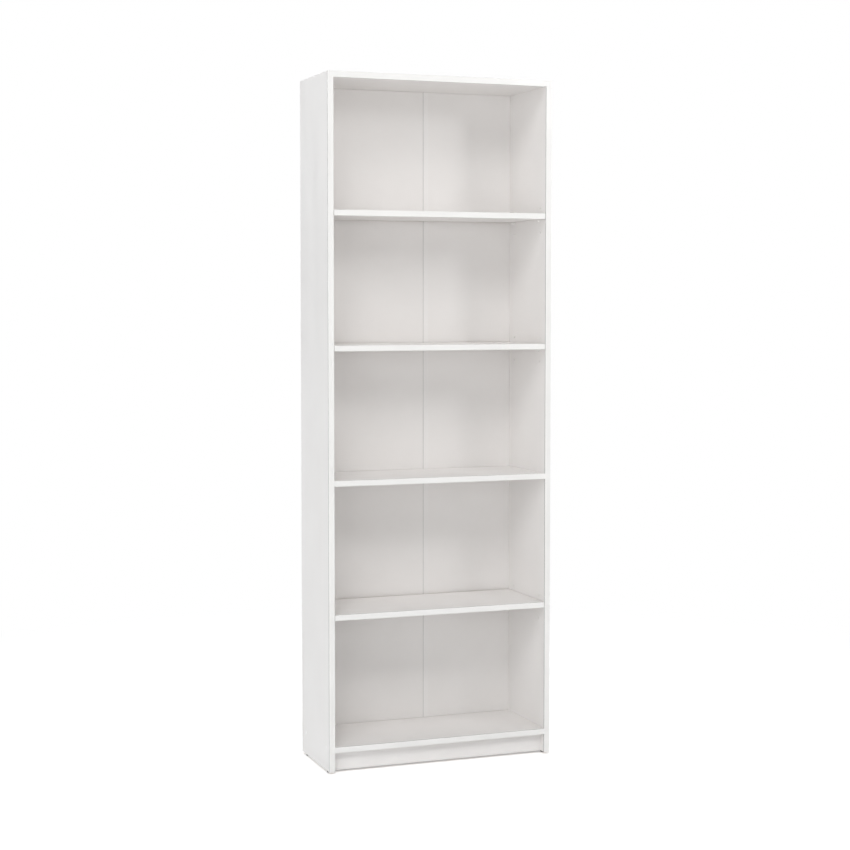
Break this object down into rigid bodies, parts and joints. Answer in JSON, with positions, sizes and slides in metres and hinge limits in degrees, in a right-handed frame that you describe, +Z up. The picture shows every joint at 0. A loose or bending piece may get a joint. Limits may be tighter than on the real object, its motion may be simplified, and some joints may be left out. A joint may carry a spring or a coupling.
{
  "type": "bookcase with adjustable shelves",
  "caption": "Tall, narrow open bookcase in white board: plinth base, nailed two-sheet back, a fixed shelf near mid height and loose shelves that rest on pins.",
  "frame": {"origin": "on the floor, at the middle of the bookcase's footprint", "axes": "+Z up, the open front faces -Y, +X to the right of someone facing the front"},
  "size_m": [0.64, 0.254, 1.872],
  "materials": {
    "white_board": "satin white melamine on chipboard",
    "white_edging": "satin",
    "white_hardboard": "white lacquer in front, raw brown fibre behind",
    "white_plastic": "satin",
    "dark_plastic": "matte",
    "zinc": "bright zinc plate",
    "steel_nail": "bare bright steel",
    "beech": "raw beech"
  },
  "bodies": {
    "case": {"left_side_panel": "white_board", "right_side_panel": "white_board", "top_panel": "white_board", "bottom_panel": "white_board", "fixed_shelf": "white_board", "plinth_board": "white_board", "left_side_edge_band": "white_edging", "right_side_edge_band": "white_edging", "top_edge_band": "white_edging", "bottom_edge_band": "white_edging", "fixed_shelf_edge_band": "white_edging", "back_panel_left": "white_hardboard", "back_panel_right": "white_hardboard", "back_joining_strip": "white_plastic", "cam_discs": "zinc", "cam_bolts": "zinc", "wood_dowels": "beech", "bottom_panel_screws": "zinc", "screw_cover_caps": "white_plastic", "back_nails": "steel_nail", "glide_front_left": "dark_plastic", "glide_rear_left": "dark_plastic", "glide_front_right": "dark_plastic", "glide_rear_right": "dark_plastic", "wall_bracket_left": "zinc", "wall_bracket_right": "zinc", "bracket_screws": "zinc"},
    "lower_shelf": {"lower_shelf": "white_board", "lower_shelf_edge_band": "white_edging"},
    "middle_shelf": {"middle_shelf": "white_board", "middle_shelf_edge_band": "white_edging"},
    "upper_shelf": {"upper_shelf": "white_board", "upper_shelf_edge_band": "white_edging"},
    "lower_shelf_pin_front_left": {"lower_shelf_pin_front_left": "white_plastic"},
    "lower_shelf_pin_rear_left": {"lower_shelf_pin_rear_left": "white_plastic"},
    "lower_shelf_pin_front_right": {"lower_shelf_pin_front_right": "white_plastic"},
    "lower_shelf_pin_rear_right": {"lower_shelf_pin_rear_right": "white_plastic"},
    "middle_shelf_pin_front_left": {"middle_shelf_pin_front_left": "white_plastic"},
    "middle_shelf_pin_rear_left": {"middle_shelf_pin_rear_left": "white_plastic"},
    "middle_shelf_pin_front_right": {"middle_shelf_pin_front_right": "white_plastic"},
    "middle_shelf_pin_rear_right": {"middle_shelf_pin_rear_right": "white_plastic"},
    "upper_shelf_pin_front_left": {"upper_shelf_pin_front_left": "white_plastic"},
    "upper_shelf_pin_rear_left": {"upper_shelf_pin_rear_left": "white_plastic"},
    "upper_shelf_pin_front_right": {"upper_shelf_pin_front_right": "white_plastic"},
    "upper_shelf_pin_rear_right": {"upper_shelf_pin_rear_right": "white_plastic"}
  },
  "joints": [
    {"name": "lower_shelf_slide", "type": "slide", "parent": "case", "child": "lower_shelf", "axis": [0, -1, 0], "range_m": [0, 0.26]},
    {"name": "middle_shelf_slide", "type": "slide", "parent": "case", "child": "middle_shelf", "axis": [0, -1, 0], "range_m": [0, 0.26]},
    {"name": "upper_shelf_slide", "type": "slide", "parent": "case", "child": "upper_shelf", "axis": [0, -1, 0], "range_m": [0, 0.26]},
    {"name": "lower_shelf_pin_front_left_pull", "type": "slide", "parent": "case", "child": "lower_shelf_pin_front_left", "axis": [1, 0, 0], "range_m": [0, 0.012]},
    {"name": "lower_shelf_pin_rear_left_pull", "type": "slide", "parent": "case", "child": "lower_shelf_pin_rear_left", "axis": [1, 0, 0], "range_m": [0, 0.012]},
    {"name": "lower_shelf_pin_front_right_pull", "type": "slide", "parent": "case", "child": "lower_shelf_pin_front_right", "axis": [-1, 0, 0], "range_m": [0, 0.012]},
    {"name": "lower_shelf_pin_rear_right_pull", "type": "slide", "parent": "case", "child": "lower_shelf_pin_rear_right", "axis": [-1, 0, 0], "range_m": [0, 0.012]},
    {"name": "middle_shelf_pin_front_left_pull", "type": "slide", "parent": "case", "child": "middle_shelf_pin_front_left", "axis": [1, 0, 0], "range_m": [0, 0.012]},
    {"name": "middle_shelf_pin_rear_left_pull", "type": "slide", "parent": "case", "child": "middle_shelf_pin_rear_left", "axis": [1, 0, 0], "range_m": [0, 0.012]},
    {"name": "middle_shelf_pin_front_right_pull", "type": "slide", "parent": "case", "child": "middle_shelf_pin_front_right", "axis": [-1, 0, 0], "range_m": [0, 0.012]},
    {"name": "middle_shelf_pin_rear_right_pull", "type": "slide", "parent": "case", "child": "middle_shelf_pin_rear_right", "axis": [-1, 0, 0], "range_m": [0, 0.012]},
    {"name": "upper_shelf_pin_front_left_pull", "type": "slide", "parent": "case", "child": "upper_shelf_pin_front_left", "axis": [1, 0, 0], "range_m": [0, 0.012]},
    {"name": "upper_shelf_pin_rear_left_pull", "type": "slide", "parent": "case", "child": "upper_shelf_pin_rear_left", "axis": [1, 0, 0], "range_m": [0, 0.012]},
    {"name": "upper_shelf_pin_front_right_pull", "type": "slide", "parent": "case", "child": "upper_shelf_pin_front_right", "axis": [-1, 0, 0], "range_m": [0, 0.012]},
    {"name": "upper_shelf_pin_rear_right_pull", "type": "slide", "parent": "case", "child": "upper_shelf_pin_rear_right", "axis": [-1, 0, 0], "range_m": [0, 0.012]}
  ]
}
